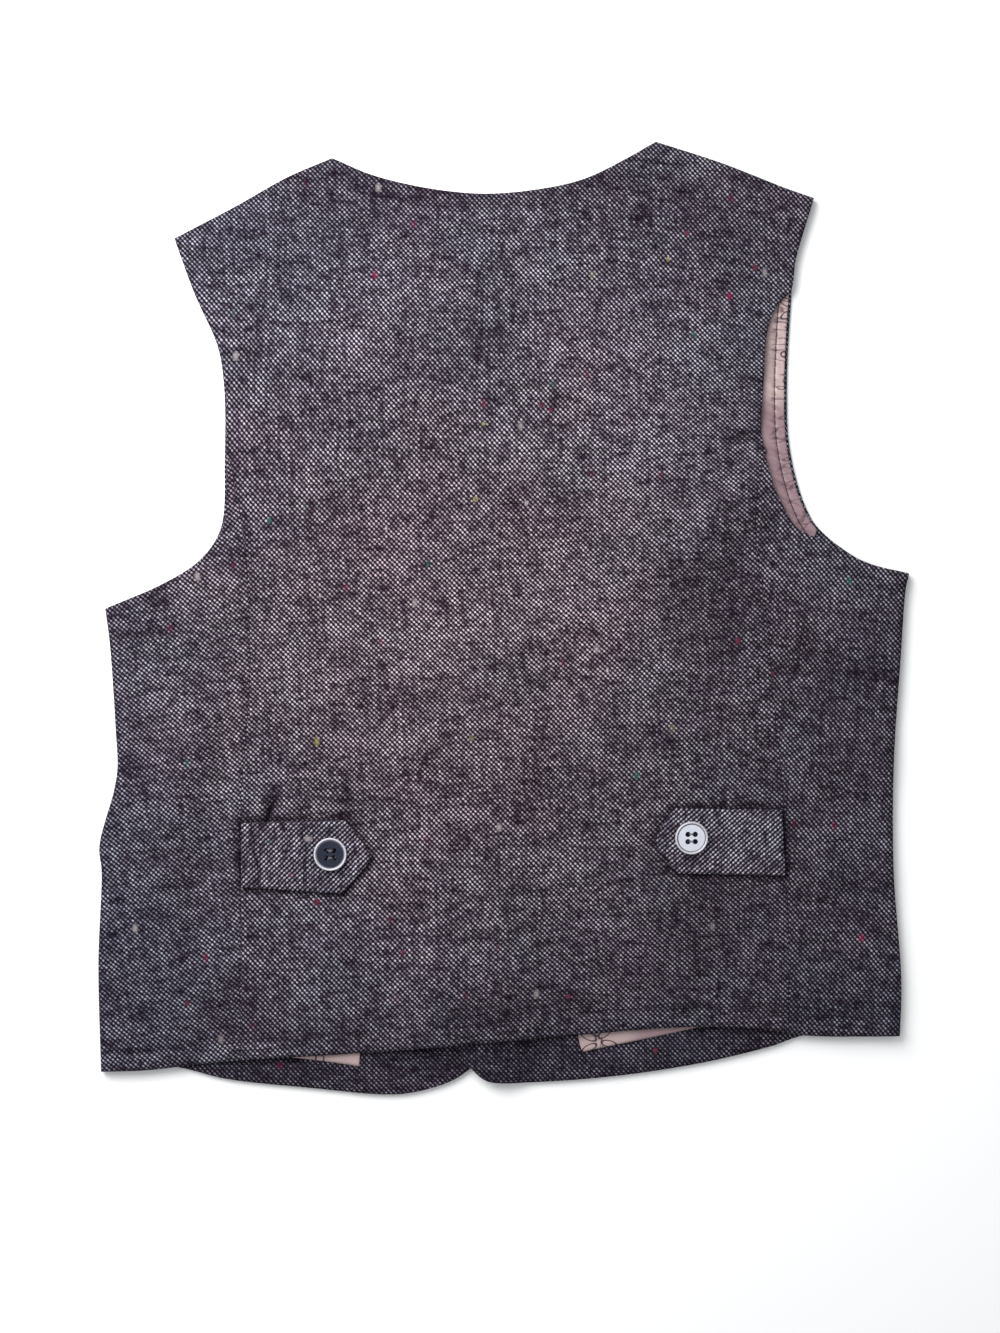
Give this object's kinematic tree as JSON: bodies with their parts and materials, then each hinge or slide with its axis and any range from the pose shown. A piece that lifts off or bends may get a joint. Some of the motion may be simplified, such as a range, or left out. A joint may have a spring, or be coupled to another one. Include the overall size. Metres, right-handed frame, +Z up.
{
  "type": "suit waistcoat",
  "caption": "Sleeveless tweed suit waistcoat laid flat face down, buttoned fronts under the back, with a pointed button tab in each back seam and a printed lining.",
  "frame": {"origin": "centre of the laid garment's outline, on the surface that it lies on", "axes": "+Y from hem to neck, +X to the wearer's right, +Z up from the surface through the back of the garment"},
  "size_m": [0.4337, 0.5098, 0.0143],
  "materials": {
    "tweed": "plain-weave wool tweed, grey-mauve and navy flecks with coloured nubs",
    "lining": "smooth printed viscose lining, dusty pink with a fine dark line",
    "button": "polished four-hole button with a raised rim and a grey metallised face"
  },
  "bodies": {
    "root": {"back_centre": "tweed", "back_side_left": "tweed", "back_side_right": "tweed", "front_left": "tweed", "front_right": "tweed", "facing_left": "tweed", "facing_right": "tweed", "lining_left": "lining", "lining_right": "lining", "tab_left": "tweed", "tab_right": "tweed", "tab_button_left": "button", "tab_button_right": "button", "front_button_1": "button", "front_button_2": "button", "front_button_3": "button", "front_button_4": "button"}
  },
  "joints": []
}
